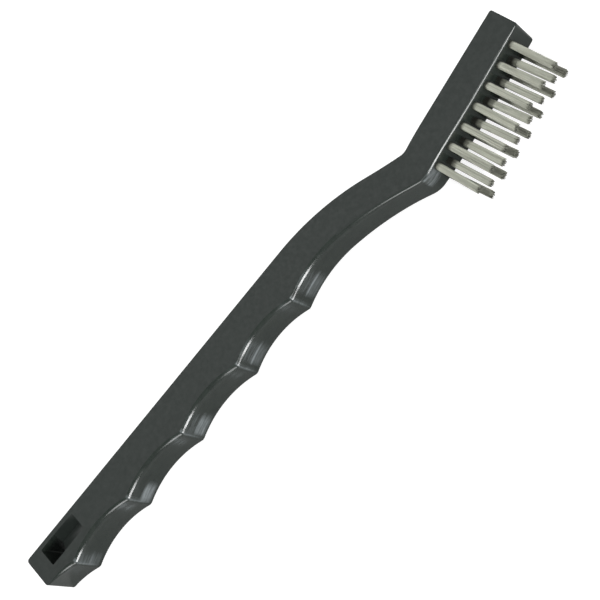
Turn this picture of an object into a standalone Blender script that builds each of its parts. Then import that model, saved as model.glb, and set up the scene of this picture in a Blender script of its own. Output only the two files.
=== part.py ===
"""Hand wire scratch brush: a moulded handle with twenty wire tufts, each held by a metal anchor.

The brush lies on its flat side. X runs from the tail of the grip to the head, Y points from the
bristles to the spine, and Z runs up across the width. The shape is drawn in millimetres from the
tail end of the spine, and one empty then brings the middle of the footprint to the origin.
"""

import math
from itertools import accumulate

import bmesh
import bpy
from mathutils import Matrix, Vector

MM = 0.001

# Finger side of the grip, from the tail: a ridge after each finger, with a hollow between each
# two, and then the half hollow of the index finger.
FINGER_LENGTHS = (10.0, 21.9, 22.3, 22.5, 21.7)
INDEX_HALF_LENGTH = 12.5
INDEX_END_LENGTH = 7.0
RIDGE_Y = -11.8
RIDGE_RADIUS = 1.6
HOLLOW_Y = -9.65
TAIL_HOLLOW_X = -0.8
HOLLOW_STEPS = 10

# Lengths of the neck behind the index finger, of its flare, and of the head's bristle face.
NECK_LENGTH = 23.5
FLARE_LENGTH = 5.0
FACE_LENGTH = 43.3

# Width of the handle, seen on its spine: it tapers from tail to neck, then flares to the head.
END_WIDTH = 11.8
NECK_WIDTH = 9.5

# Spine of the grip, neck and head.
SPINE_BEND_RADIUS = 75.0
NECK_SLOPE = 21.94
KINK_BEYOND_NECK = 2.687
KINK_Y = -9.877
KINK_RADIUS = 4.0
HEAD_SPINE_SLOPE = 8.97
END_SETBACK = 2.945

# Bristle face of the head, from its far end back to the foot of the neck.
HEAD_FOOT_Y = -11.3
NECK_FOOT_BEYOND_NECK = 0.6
NECK_FOOT_Y = -18.75
NECK_FOOT_RADIUS = 7.5
NECK_UNDER_SLOPE = 25.2

# Rounded corners of the side outline, and the rounding along both flat sides.
TAIL_SPINE_RADIUS = 0.9
TAIL_FOOT_RADIUS = 1.0
HEAD_SPINE_RADIUS = 0.6
HEAD_FOOT_RADIUS = 0.8
SIDE_ROUNDING = 0.4

# Hang hole near the tail: a square opening and a shallow trough that leads to it on each side.
HOLE_START_X = 5.0
HOLE_END_X = 10.5
TROUGH_END_X = 18.0
HOLE_TOP_Y = -1.33
HOLE_FOOT_Y = -6.9
TROUGH_DEPTH = 1.4
HOLE_CORNER_RADIUS = 0.35

# Rows of tufts: seven, six and seven, with the middle row about half a pitch off.
OUTER_ROW_COUNT = 7
MIDDLE_ROW_COUNT = 6
TUFT_PITCH = 5.66
MIDDLE_ROW_SHIFT = 3.05
ROW_SPACING = 3.65
END_TO_FIRST_TUFT = 4.9

# Blind hole of a tuft, the wire bundle in it and the wire outside it.
TUFT_HOLE_RADIUS = 1.0
TUFT_HOLE_DEPTH = 5.0
TUFT_CLEARANCE = 0.05
BUNDLE_PROUD = 0.35
FOLD_ROUNDING = 0.4
WIRE_LENGTH = 13.7
WIRE_RADIUS = 0.15
WIRE_ROOT = 0.8
WIRE_RAGGED = 0.3
WIRE_RINGS = ((1, 0.0, 0.0), (6, 0.38, 0.46), (11, 0.74, 0.9))
ROUND_STEPS = 16

# Anchor: a short piece of flat wire in the fold, with both ends bitten into the hole wall.
ANCHOR_THICKNESS = 0.35
ANCHOR_HEIGHT = 1.5
ANCHOR_BITE = 0.3
ANCHOR_CLEARANCE = 0.03
ANCHOR_EDGE = 0.07
FOLD_THICKNESS = 0.5

# How far a cutter reaches beyond what it cuts.
CUTTER_REACH = 2.0
PLAN_REACH = 5.0

# Places along the grip that follow from the lengths.
RIDGE_X = tuple(accumulate(FINGER_LENGTHS))
INDEX_HOLLOW_X = RIDGE_X[-1] + INDEX_HALF_LENGTH
INDEX_HOLLOW_END_X = INDEX_HOLLOW_X + INDEX_END_LENGTH
NECK_END_X = INDEX_HOLLOW_END_X + NECK_LENGTH
HEAD_START_X = NECK_END_X + FLARE_LENGTH
KINK_X = NECK_END_X + KINK_BEYOND_NECK
NECK_FOOT_X = NECK_END_X + NECK_FOOT_BEYOND_NECK
HEAD_FOOT_X = NECK_FOOT_X + FACE_LENGTH
HEAD_SPINE_LENGTH = FACE_LENGTH - END_SETBACK

COLLECTION_NAME = "wire_scratch_brush"
CUTTER_COLLECTION_NAME = "cutters"


def bristle_slope():
    """Angle in radians between the bristle face and the grip."""
    rise = HEAD_FOOT_Y - NECK_FOOT_Y
    return math.atan2(rise, FACE_LENGTH)


def hollow_radius(half_chord):
    """Radius of a hollow that reaches from its top to a ridge at this distance."""
    depth = HOLLOW_Y - RIDGE_Y
    return (half_chord ** 2 + depth ** 2) / (2 * depth)


def hollow_y(x, top_x, radius):
    """Height of a hollow at x, with its top at top_x."""
    return HOLLOW_Y - radius + math.sqrt(radius ** 2 - (x - top_x) ** 2)


def hollow_points(start_x, end_x, top_x, half_chord, steps):
    """Points along a hollow between two x values, without its two ends."""
    radius = hollow_radius(half_chord)
    points = []
    for step in range(1, steps):
        x = start_x + (end_x - start_x) * step / steps
        points.append((x, hollow_y(x, top_x, radius)))
    return points


def rounded(corners):
    """The outline of a list of (x, y, radius, steps), with an arc in place of each corner."""
    outline = []
    count = len(corners)
    for index, (x, y, radius, steps) in enumerate(corners):
        corner = Vector((x, y))
        if radius == 0:
            outline.append(corner)
            continue
        before = (Vector(corners[index - 1][:2]) - corner).normalized()
        after = (Vector(corners[(index + 1) % count][:2]) - corner).normalized()
        half = before.angle(after) / 2
        centre = corner + (before + after).normalized() * radius / math.sin(half)
        start = corner + before * radius / math.tan(half) - centre
        sweep = math.pi - 2 * half
        if before.x * after.y - before.y * after.x > 0:
            sweep = -sweep
        for step in range(steps + 1):
            outline.append(centre + Matrix.Rotation(sweep * step / steps, 2) @ start)
    return outline


def neck_under_bend():
    """Corner between the end of the index hollow and the underside of the neck, with its radius."""
    half_chord = INDEX_HOLLOW_X - RIDGE_X[-1]
    radius = hollow_radius(half_chord)
    start_y = hollow_y(INDEX_HOLLOW_END_X, INDEX_HOLLOW_X, radius)
    start_slope = math.asin((INDEX_HOLLOW_END_X - INDEX_HOLLOW_X) / radius)
    under_slope = math.radians(NECK_UNDER_SLOPE)
    drop = start_y - NECK_FOOT_Y - (NECK_FOOT_X - INDEX_HOLLOW_END_X) * math.tan(start_slope)
    run = drop / (math.tan(under_slope) - math.tan(start_slope))
    x = NECK_FOOT_X - run
    y = NECK_FOOT_Y + run * math.tan(under_slope)
    reach = (x - INDEX_HOLLOW_END_X) / math.cos(start_slope)
    return x, y, reach / math.tan((under_slope - start_slope) / 2)


def side_outline():
    """Side view of the handle: along the spine to the head, then back along the finger side."""
    neck_slope = math.tan(math.radians(NECK_SLOPE))
    head_slope = math.radians(HEAD_SPINE_SLOPE)
    head_x = KINK_X + HEAD_SPINE_LENGTH * math.cos(head_slope)
    head_y = KINK_Y + HEAD_SPINE_LENGTH * math.sin(head_slope)
    tail_radius = hollow_radius(RIDGE_X[0] - TAIL_HOLLOW_X)
    corners = [
        (0.0, 0.0, TAIL_SPINE_RADIUS, 4),
        (KINK_X + KINK_Y / neck_slope, 0.0, SPINE_BEND_RADIUS, 10),
        (KINK_X, KINK_Y, KINK_RADIUS, 4),
        (head_x, head_y, HEAD_SPINE_RADIUS, 4),
        (HEAD_FOOT_X, HEAD_FOOT_Y, HEAD_FOOT_RADIUS, 4),
        (NECK_FOOT_X, NECK_FOOT_Y, NECK_FOOT_RADIUS, 5),
    ]
    corners.append((*neck_under_bend(), 7))
    bounds = [INDEX_HOLLOW_END_X, *reversed(RIDGE_X), 0.0]
    tops = [INDEX_HOLLOW_X]
    for right, left in zip(bounds[1:-2], bounds[2:-1]):
        tops.append((right + left) / 2)
    tops.append(TAIL_HOLLOW_X)
    for right, left, top in zip(bounds[:-1], bounds[1:], tops):
        half_chord = abs(top - (left if left > 0 else right))
        steps = round(HOLLOW_STEPS * (right - left) / (RIDGE_X[1] - RIDGE_X[0]))
        for x, y in hollow_points(right, left, top, half_chord, steps):
            corners.append((x, y, 0, 0))
        if left > 0:
            corners.append((left, RIDGE_Y, RIDGE_RADIUS, 4))
    corners.append((0.0, hollow_y(0.0, TAIL_HOLLOW_X, tail_radius), TAIL_FOOT_RADIUS, 4))
    return rounded(corners)


def plan_outline():
    """Top view of the handle, a little longer than the side outline at both ends."""
    reach = PLAN_REACH
    taper = (END_WIDTH - NECK_WIDTH) / 2
    beyond = taper * reach / NECK_END_X
    lower = [
        (-reach, -beyond),
        (NECK_END_X, taper),
        (HEAD_START_X, 0.0),
        (HEAD_FOOT_X + reach, 0.0),
    ]
    upper = [(x, END_WIDTH - z) for x, z in reversed(lower)]
    return [Vector(point) for point in lower + upper]


def clear_scene():
    """Remove everything of the startup scene."""
    for obj in list(bpy.data.objects):
        bpy.data.objects.remove(obj)


def new_collection(name):
    """A collection linked to the scene."""
    collection = bpy.data.collections.new(name)
    bpy.context.scene.collection.children.link(collection)
    return collection


def new_object(name, bm, collection):
    """A mesh object made from a bmesh in millimetres."""
    bmesh.ops.scale(bm, vec=(MM, MM, MM), verts=bm.verts)
    mesh = bpy.data.meshes.new(name)
    bm.to_mesh(mesh)
    bm.free()
    obj = bpy.data.objects.new(name, mesh)
    collection.objects.link(obj)
    return obj


def new_cutter(name, bm, cutters):
    """A helper object that shapes another one and is never shown."""
    obj = new_object(name, bm, cutters)
    obj.hide_render = True
    obj.display_type = "WIRE"
    return obj


def prism(outline, low, high, matrix=Matrix.Identity(4)):
    """A bmesh of a 2D curve through the outline, extruded from low to high and placed by the matrix."""
    curve = bpy.data.curves.new("outline", "CURVE")
    curve.dimensions = "2D"
    curve.fill_mode = "BOTH"
    curve.extrude = (high - low) / 2
    spline = curve.splines.new("POLY")
    spline.points.add(len(outline) - 1)
    for point, target in zip(outline, spline.points):
        target.co = (point[0], point[1], 0.0, 1.0)
    spline.use_cyclic_u = True
    holder = bpy.data.objects.new("outline", curve)
    mesh = bpy.data.meshes.new_from_object(holder)
    bm = bmesh.new()
    bm.from_mesh(mesh)
    bmesh.ops.remove_doubles(bm, verts=bm.verts, dist=1e-4)
    bmesh.ops.translate(bm, vec=(0, 0, (high + low) / 2), verts=bm.verts)
    bmesh.ops.transform(bm, matrix=matrix, verts=bm.verts)
    bmesh.ops.recalc_face_normals(bm, faces=bm.faces)
    bpy.data.objects.remove(holder)
    bpy.data.curves.remove(curve)
    bpy.data.meshes.remove(mesh)
    return bm


def box(bm, low, high, matrix=Matrix.Identity(4)):
    """Add a box between two corners to the bmesh, and return its vertices."""
    low = Vector(low)
    high = Vector(high)
    size = Matrix.Diagonal((*(high - low), 1.0))
    place = matrix @ Matrix.Translation((low + high) / 2) @ size
    return bmesh.ops.create_cube(bm, size=1.0, matrix=place)["verts"]


def apply_modifiers(obj):
    """Replace the mesh of the object with what its modifiers make of it."""
    graph = bpy.context.evaluated_depsgraph_get()
    mesh = bpy.data.meshes.new_from_object(obj.evaluated_get(graph))
    obj.modifiers.clear()
    old = obj.data
    obj.data = mesh
    bpy.data.meshes.remove(old)
    mesh.name = obj.name


def add_boolean(obj, name, operation, other):
    """Join or cut the object with another mesh."""
    modifier = obj.modifiers.new(name, "BOOLEAN")
    modifier.operation = operation
    modifier.object = other
    modifier.solver = "EXACT"


def shade_round(obj, degrees):
    """Shade smoothly, with edges sharper than this angle left crisp."""
    obj.data.shade_smooth()
    obj.data.set_sharp_from_angle(angle=math.radians(degrees))


def make_material(name, colour, roughness, metallic):
    """A plain Principled material."""
    material = bpy.data.materials.new(name)
    material.use_nodes = True
    shader = material.node_tree.nodes["Principled BSDF"]
    shader.inputs["Base Color"].default_value = (*colour, 1.0)
    shader.inputs["Roughness"].default_value = roughness
    shader.inputs["Metallic"].default_value = metallic
    material.diffuse_color = (*colour, 1.0)
    return material


def handle_material():
    """Dark grey moulded plastic."""
    return make_material("handle_plastic", (0.042, 0.047, 0.046), 0.5, 0.0)


def wire_material():
    """Bright drawn steel wire."""
    return make_material("tuft_wire", (0.62, 0.61, 0.56), 0.35, 1.0)


def anchor_material():
    """Duller flat steel wire."""
    return make_material("anchor_wire", (0.45, 0.45, 0.44), 0.45, 1.0)


def tuft_places():
    """Name suffix and placement of every tuft, from the head end of each row."""
    slope = bristle_slope()
    along = Vector((math.cos(slope), math.sin(slope), 0.0))
    outward = Vector((math.sin(slope), -math.cos(slope), 0.0))
    foot = Vector((HEAD_FOOT_X, HEAD_FOOT_Y, END_WIDTH / 2))
    rows = (
        ("near", OUTER_ROW_COUNT, 0.0, ROW_SPACING),
        ("middle", MIDDLE_ROW_COUNT, MIDDLE_ROW_SHIFT, 0.0),
        ("far", OUTER_ROW_COUNT, 0.0, -ROW_SPACING),
    )
    places = []
    for row, count, offset, height in rows:
        for number in range(count):
            back = END_TO_FIRST_TUFT + offset + TUFT_PITCH * number
            spot = foot - along * back + Vector((0.0, 0.0, height))
            matrix = Matrix.Identity(4)
            matrix.col[0].xyz = along
            matrix.col[1].xyz = (0.0, 0.0, 1.0)
            matrix.col[2].xyz = outward
            matrix.col[3].xyz = spot
            places.append((f"{row}_{number + 1}", matrix))
    return places


def anchor_foot():
    """Depth of the lower edge of an anchor, measured from the bristle face."""
    return -TUFT_HOLE_DEPTH + TUFT_CLEARANCE + FOLD_THICKNESS


def cut_blanks(cutters):
    """Cutter with the round blind hole of every tuft."""
    bm = bmesh.new()
    beyond = CUTTER_REACH
    depth = TUFT_HOLE_DEPTH + beyond
    for name, place in tuft_places():
        lift = Matrix.Translation((0.0, 0.0, (beyond - TUFT_HOLE_DEPTH) / 2))
        bmesh.ops.create_cone(
            bm,
            cap_ends=True,
            segments=ROUND_STEPS,
            radius1=TUFT_HOLE_RADIUS,
            radius2=TUFT_HOLE_RADIUS,
            depth=depth,
            matrix=place @ lift,
        )
    bmesh.ops.recalc_face_normals(bm, faces=bm.faces)
    return new_cutter("tuft_hole_cutter", bm, cutters)


def cut_notches(cutters):
    """Cutter with the notches that the ends of the anchors have bitten into the hole walls."""
    bm = bmesh.new()
    half_length = TUFT_HOLE_RADIUS + ANCHOR_BITE + ANCHOR_CLEARANCE
    half_thickness = ANCHOR_THICKNESS / 2 + ANCHOR_CLEARANCE
    low = anchor_foot() - ANCHOR_CLEARANCE
    high = anchor_foot() + ANCHOR_HEIGHT + ANCHOR_CLEARANCE
    for name, place in tuft_places():
        box(
            bm,
            (-half_length, -half_thickness, low),
            (half_length, half_thickness, high),
            place,
        )
    bmesh.ops.recalc_face_normals(bm, faces=bm.faces)
    return new_cutter("anchor_notch_cutter", bm, cutters)


def cut_hang_hole(cutters):
    """Cutter for the square opening through the tail."""
    bm = bmesh.new()
    low = (HOLE_START_X, HOLE_FOOT_Y, -CUTTER_REACH)
    high = (HOLE_END_X, HOLE_TOP_Y, END_WIDTH + CUTTER_REACH)
    box(bm, low, high)
    upright = []
    for edge in bm.edges:
        ends = edge.verts[0].co - edge.verts[1].co
        if abs(ends.z) > END_WIDTH:
            upright.append(edge)
    bmesh.ops.bevel(
        bm,
        geom=upright,
        offset=HOLE_CORNER_RADIUS,
        segments=2,
        profile=0.5,
        affect="EDGES",
    )
    return new_cutter("hang_hole_cutter", bm, cutters)


def cut_trough(name, face_z, direction, cutters):
    """Cutter for the shallow trough beside the hang hole, on the side that faces this direction."""
    middle_y = (HOLE_TOP_Y + HOLE_FOOT_Y) / 2
    slope = TROUGH_DEPTH / (HOLE_TOP_Y - middle_y)
    beyond = CUTTER_REACH
    outline = [
        Vector((middle_y, face_z - direction * TROUGH_DEPTH)),
        Vector((HOLE_TOP_Y + beyond / slope, face_z + direction * beyond)),
        Vector((HOLE_FOOT_Y - beyond / slope, face_z + direction * beyond)),
    ]
    turn = Matrix(((0, 0, 1, 0), (1, 0, 0, 0), (0, 1, 0, 0), (0, 0, 0, 1)))
    start = (HOLE_START_X + HOLE_END_X) / 2
    return new_cutter(name, prism(outline, start, TROUGH_END_X, turn), cutters)


def round_flat_sides(obj):
    """Round the edges between the walls of the outline and the two flat sides."""
    bm = bmesh.new()
    bm.from_mesh(obj.data)
    limit = math.radians(60)
    rim = [edge for edge in bm.edges if edge.calc_face_angle(0.0) > limit]
    bmesh.ops.bevel(
        bm,
        geom=rim,
        offset=SIDE_ROUNDING * MM,
        segments=2,
        profile=0.5,
        affect="EDGES",
        clamp_overlap=False,
    )
    bm.to_mesh(obj.data)
    bm.free()


def build_handle(parts, cutters):
    """The moulded handle: side outline kept within the top outline, with every hole cut in it."""
    side = side_outline()
    blank = prism(side, -CUTTER_REACH, END_WIDTH + CUTTER_REACH)
    handle = new_object("handle", blank, parts)
    turn = Matrix(((1, 0, 0, 0), (0, 0, 1, 0), (0, 1, 0, 0), (0, 0, 0, 1)))
    lowest = min(point.y for point in side) - PLAN_REACH
    highest = max(point.y for point in side) + PLAN_REACH
    width = prism(plan_outline(), lowest, highest, turn)
    plan = new_cutter("width_cutter", width, cutters)
    add_boolean(handle, "width", "INTERSECT", plan)
    apply_modifiers(handle)
    round_flat_sides(handle)
    add_boolean(handle, "tuft holes", "DIFFERENCE", cut_blanks(cutters))
    add_boolean(handle, "anchor notches", "DIFFERENCE", cut_notches(cutters))
    add_boolean(handle, "hang hole", "DIFFERENCE", cut_hang_hole(cutters))
    taper = (END_WIDTH - NECK_WIDTH) / 2
    inset = taper * (HOLE_START_X + TROUGH_END_X) / 2 / NECK_END_X
    near = cut_trough("near_trough_cutter", END_WIDTH - inset, 1, cutters)
    far = cut_trough("far_trough_cutter", inset, -1, cutters)
    add_boolean(handle, "near trough", "DIFFERENCE", near)
    add_boolean(handle, "far trough", "DIFFERENCE", far)
    apply_modifiers(handle)
    shade_round(handle, 30)
    handle.data.materials.append(handle_material())
    return handle


def wires(seed):
    """A bmesh of the separate wires of one tuft, spreading a little from root to tip."""
    bm = bmesh.new()
    number = 0
    for count, root_radius, tip_radius in WIRE_RINGS:
        for index in range(count):
            angle = 2 * math.pi * (index + 0.5 * (count > 6)) / count
            side = Vector((math.cos(angle), math.sin(angle), 0.0))
            reach = WIRE_LENGTH + WIRE_RAGGED * math.sin(2.4 * number + 1.7 * seed)
            root = side * root_radius - Vector((0.0, 0.0, WIRE_ROOT))
            tip = side * tip_radius + Vector((0.0, 0.0, reach))
            lean = (tip - root).to_track_quat("Z", "X").to_matrix().to_4x4()
            place = Matrix.Translation((root + tip) / 2) @ lean
            bmesh.ops.create_cone(
                bm,
                cap_ends=True,
                segments=4,
                radius1=WIRE_RADIUS,
                radius2=WIRE_RADIUS,
                depth=(tip - root).length,
                matrix=place,
            )
            number += 1
    bmesh.ops.recalc_face_normals(bm, faces=bm.faces)
    return bm


def bundle():
    """A bmesh of the wire bundle in the hole: round, with a rounded fold at its foot."""
    bm = bmesh.new()
    foot = -TUFT_HOLE_DEPTH + TUFT_CLEARANCE
    radius = TUFT_HOLE_RADIUS - TUFT_CLEARANCE
    bmesh.ops.create_cone(
        bm,
        cap_ends=True,
        segments=ROUND_STEPS,
        radius1=radius,
        radius2=radius,
        depth=BUNDLE_PROUD - foot,
        matrix=Matrix.Translation((0.0, 0.0, (BUNDLE_PROUD + foot) / 2)),
    )
    rim = [edge for edge in bm.edges if all(v.co.z < foot + 0.01 for v in edge.verts)]
    bmesh.ops.bevel(
        bm,
        geom=rim,
        offset=FOLD_ROUNDING,
        segments=2,
        profile=0.5,
        affect="EDGES",
    )
    bmesh.ops.recalc_face_normals(bm, faces=bm.faces)
    return bm


def anchor_slot():
    """A bmesh of the room that the anchor takes in the fold of a bundle."""
    bm = bmesh.new()
    reach = TUFT_HOLE_RADIUS * 2
    half_thickness = ANCHOR_THICKNESS / 2 + ANCHOR_CLEARANCE
    box(
        bm,
        (-reach, -half_thickness, anchor_foot() - ANCHOR_CLEARANCE),
        (reach, half_thickness, anchor_foot() + ANCHOR_HEIGHT + ANCHOR_CLEARANCE),
    )
    return bm


def build_tufts(parts, cutters):
    """Twenty tufts: a folded bundle in the blind hole with its wires standing out of it."""
    material = wire_material()
    slot = new_cutter("anchor_slot_cutter", anchor_slot(), cutters)
    tufts = []
    for seed, (name, place) in enumerate(tuft_places()):
        tuft = new_object(f"tuft_{name}", bundle(), parts)
        strands = new_cutter(f"wires_{name}", wires(seed), cutters)
        add_boolean(tuft, "wires", "UNION", strands)
        add_boolean(tuft, "anchor slot", "DIFFERENCE", slot)
        apply_modifiers(tuft)
        bpy.data.objects.remove(strands)
        tuft.matrix_world = in_metres(place)
        shade_round(tuft, 40)
        tuft.data.materials.append(material)
        tufts.append(tuft)
    return tufts


def build_anchors(parts):
    """Twenty anchors: flat wire across the fold, a little longer than the hole is wide."""
    material = anchor_material()
    anchors = []
    half_length = TUFT_HOLE_RADIUS + ANCHOR_BITE
    low = (-half_length, -ANCHOR_THICKNESS / 2, anchor_foot())
    high = (half_length, ANCHOR_THICKNESS / 2, anchor_foot() + ANCHOR_HEIGHT)
    for name, place in tuft_places():
        bm = bmesh.new()
        box(bm, low, high)
        long_edges = []
        for edge in bm.edges:
            run = edge.verts[0].co - edge.verts[1].co
            if abs(run.x) > half_length:
                long_edges.append(edge)
        bmesh.ops.bevel(
            bm,
            geom=long_edges,
            offset=ANCHOR_EDGE,
            segments=1,
            affect="EDGES",
        )
        anchor = new_object(f"anchor_{name}", bm, parts)
        anchor.matrix_world = in_metres(place)
        anchor.data.materials.append(material)
        anchors.append(anchor)
    return anchors


def in_metres(place):
    """The same placement with its position in metres."""
    matrix = place.copy()
    matrix.translation = place.translation * MM
    return matrix


def centre_on_origin(pieces, parts):
    """Hold all pieces on one empty, with the middle of their footprint at the origin."""
    bpy.context.view_layer.update()
    points = []
    for piece in pieces:
        for vertex in piece.data.vertices:
            points.append(piece.matrix_world @ vertex.co)
    low = Vector([min(point[axis] for point in points) for axis in range(3)])
    high = Vector([max(point[axis] for point in points) for axis in range(3)])
    middle = (low + high) / 2
    root = bpy.data.objects.new("brush_root", None)
    parts.objects.link(root)
    for piece in pieces:
        piece.parent = root
    root.location = (-middle.x, -middle.y, -low.z)
    bpy.context.view_layer.update()


def main():
    """Build the whole brush."""
    clear_scene()
    parts = new_collection(COLLECTION_NAME)
    cutters = new_collection(CUTTER_COLLECTION_NAME)
    cutters.hide_render = True
    pieces = [build_handle(parts, cutters)]
    pieces.extend(build_tufts(parts, cutters))
    pieces.extend(build_anchors(parts))
    centre_on_origin(pieces, parts)


main()
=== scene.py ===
"""Dressed scene of a hand wire scratch brush.

A moulded handle with a hollowed grip, a cranked neck and a narrow head carries three
staggered rows of wire tufts. Each tuft is folded over a metal anchor deep in its hole. The
brush lies on one flat side, under plain soft light, seen from the photograph's angle.

Sizes are in millimetres from the tail end of the spine, and meshes are in metres.
"""

from __future__ import annotations

import logging
import math
import random
from dataclasses import dataclass, field
from enum import Enum
from typing import Any, Callable, Iterable

import bmesh
import bpy
from mathutils import Matrix, Vector

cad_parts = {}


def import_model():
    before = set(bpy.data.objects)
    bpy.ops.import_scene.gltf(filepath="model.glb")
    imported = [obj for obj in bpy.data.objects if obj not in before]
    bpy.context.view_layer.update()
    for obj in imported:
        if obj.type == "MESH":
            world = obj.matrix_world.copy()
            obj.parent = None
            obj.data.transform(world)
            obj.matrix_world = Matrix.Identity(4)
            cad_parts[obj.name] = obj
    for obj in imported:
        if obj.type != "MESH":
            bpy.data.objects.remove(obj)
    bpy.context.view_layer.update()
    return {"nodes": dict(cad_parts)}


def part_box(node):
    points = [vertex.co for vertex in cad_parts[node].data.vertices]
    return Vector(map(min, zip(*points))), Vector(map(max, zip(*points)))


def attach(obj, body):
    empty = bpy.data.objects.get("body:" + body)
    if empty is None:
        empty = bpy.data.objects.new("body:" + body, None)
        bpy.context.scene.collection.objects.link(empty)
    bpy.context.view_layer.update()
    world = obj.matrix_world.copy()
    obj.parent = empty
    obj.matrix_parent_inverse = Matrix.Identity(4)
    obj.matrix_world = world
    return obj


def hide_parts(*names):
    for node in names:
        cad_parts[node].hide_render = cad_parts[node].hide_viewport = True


Piece = bpy.types.Object
Socket = bpy.types.NodeSocket
Span = tuple[float, float]
Triple = tuple[float, float, float]
EdgeTest = Callable[[bmesh.types.BMEdge], bool]

# Distances in millimetres: points that coincide, that are joined, and that lie at an end
SAME_POINT = 0.0001
JOIN_GAP = 0.03
NEAR_END = 0.01

# Numbers of chords in the bends of an outline, and of strips in a small rounding
CORNER_CHORDS = 8
RIDGE_CHORDS = 10
FACE_CHORDS = 12
TAIL_CHORDS = 14
UNDER_CHORDS = 24
HOLLOW_CHORDS = 26
SPINE_CHORDS = 48
SMALL_STRIPS = 4

MM = 0.001

# The parts of a noise's range that are stretched to a whole range
NOISE_BAND: Span = (0.35, 0.65)
BROAD_BAND: Span = (0.3, 0.7)
STREAK_BAND: Span = (0.4, 0.62)

# The tones of a wire that stand for its cut end
CUT_TONES: Span = (1.0, 1.6)

logging.basicConfig(level=logging.INFO, format="%(name)s: %(message)s")
log = logging.getLogger("scratch_brush")


class Row(Enum):
    """The three rows of tufts, named from the side that the camera sees."""

    NEAR = "near"
    MIDDLE = "middle"
    FAR = "far"


class Side(Enum):
    """The two flat sides of the handle, by the direction that they face."""

    UPPER = 1
    LOWER = -1


# Helpers for modelling


def point_field(*values: float) -> Any:
    """Default of a dataclass field that holds a vector."""
    return field(default_factory=lambda: Vector(values))


def begin_piece() -> None:
    """Leave edit mode and deselect everything."""
    if bpy.context.mode != "OBJECT":
        bpy.ops.object.mode_set(mode="OBJECT")
    bpy.ops.object.select_all(action="DESELECT")


def select_only(obj: Piece) -> None:
    """Select this piece alone and make it active."""
    begin_piece()
    obj.select_set(True)
    bpy.context.view_layer.objects.active = obj


def name_piece(name: str) -> Piece:
    """Give the active object and its mesh this name, and return the object."""
    obj = bpy.context.active_object
    obj.name = name
    obj.data.name = name
    return obj


def settle(obj: Piece) -> None:
    """Put the object's place into its mesh, so that it sits at the origin."""
    select_only(obj)
    bpy.ops.object.transform_apply(location=True, rotation=True, scale=True)


def add_block(name: str, middle: Vector, size: Vector) -> Piece:
    """Add a block that stands square.

    Args:
        name: The name of the piece.
        middle: Its middle, in metres.
        size: Its size along each axis, in millimetres.

    Returns:
        The block, whose object sits at the origin.
    """
    begin_piece()
    bpy.ops.mesh.primitive_cube_add(size=1.0, location=middle, scale=size * MM)
    block = name_piece(name)
    settle(block)
    return block


def add_rod(name: str, radius: float, foot: float, top: float, sides: int) -> Piece:
    """Add an upright rod, with its sizes in millimetres.

    Args:
        name: The name of the piece.
        radius: Its radius.
        foot: The height of its lower end.
        top: The height of its upper end.
        sides: How many sides it has.

    Returns:
        The rod, whose object sits at the origin.
    """
    begin_piece()
    bpy.ops.mesh.primitive_cylinder_add(
        vertices=sides,
        radius=radius * MM,
        depth=(top - foot) * MM,
        location=(0.0, 0.0, (top + foot) / 2 * MM),
    )
    rod = name_piece(name)
    settle(rod)
    return rod


def pick_edges(obj: Piece, test: EdgeTest) -> int:
    """Select in edit mode only the edges that pass a test.

    Args:
        obj: The piece that is being edited.
        test: Says whether an edge is wanted.

    Returns:
        How many edges were selected.
    """
    bpy.ops.mesh.select_mode(type="EDGE")
    bpy.ops.mesh.select_all(action="DESELECT")
    wanted = [edge for edge in bmesh.from_edit_mesh(obj.data).edges if test(edge)]
    for edge in wanted:
        edge.select_set(True)
    bmesh.update_edit_mesh(obj.data)
    return len(wanted)


def bevel_edges(obj: Piece, test: EdgeTest, width: float, strips: int) -> None:
    """Round the edges of a piece that pass a test.

    Args:
        obj: The piece to round.
        test: Says whether an edge is wanted.
        width: The width of the rounding, in millimetres.
        strips: How many strips of faces the rounding has.
    """
    select_only(obj)
    bpy.ops.object.mode_set(mode="EDIT")
    pick_edges(obj, test)
    bpy.ops.mesh.bevel(offset=width * MM, segments=strips, affect="EDGES")
    bpy.ops.object.mode_set(mode="OBJECT")


def apply_modifier(obj: Piece, name: str) -> None:
    """Apply the modifier of this name."""
    select_only(obj)
    bpy.ops.object.modifier_apply(modifier=name)


def carve(obj: Piece, tool: Piece, operation: str = "DIFFERENCE") -> None:
    """Shape a piece with another one, which is then removed.

    Args:
        obj: The piece to shape.
        tool: The closed mesh to shape it with.
        operation: DIFFERENCE, INTERSECT or UNION.
    """
    modifier = obj.modifiers.new(tool.name, "BOOLEAN")
    modifier.operation = operation
    modifier.solver = "EXACT"
    modifier.object = tool
    apply_modifier(obj, modifier.name)
    mesh = tool.data
    bpy.data.objects.remove(tool)
    bpy.data.meshes.remove(mesh)


def copy_with_mesh(obj: Piece, name: str, place: Matrix) -> Piece:
    """Copy a piece with its own mesh, with the place put into the mesh.

    Args:
        obj: The piece to copy.
        name: The name of the copy.
        place: Where the copy goes.

    Returns:
        The copy, whose object sits at the origin.
    """
    mesh = obj.data.copy()
    mesh.name = name
    mesh.transform(place)
    copy = bpy.data.objects.new(name, mesh)
    bpy.context.scene.collection.objects.link(copy)
    return copy


def join_pieces(pieces: list[Piece], name: str) -> Piece:
    """Join several pieces into one mesh, which is left selected.

    Args:
        pieces: The pieces, of which the first becomes the result.
        name: The name of the result.

    Returns:
        The joined piece.
    """
    begin_piece()
    for piece in pieces:
        piece.select_set(True)
    bpy.context.view_layer.objects.active = pieces[0]
    bpy.ops.object.join()
    return name_piece(name)


def mark_points(obj: Piece, name: str, values: list[float]) -> None:
    """Store a number for each point of a mesh, under the name that a finish reads."""
    marks = obj.data.attributes.new(name, "FLOAT", "POINT")
    marks.data.foreach_set("value", values)


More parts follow.
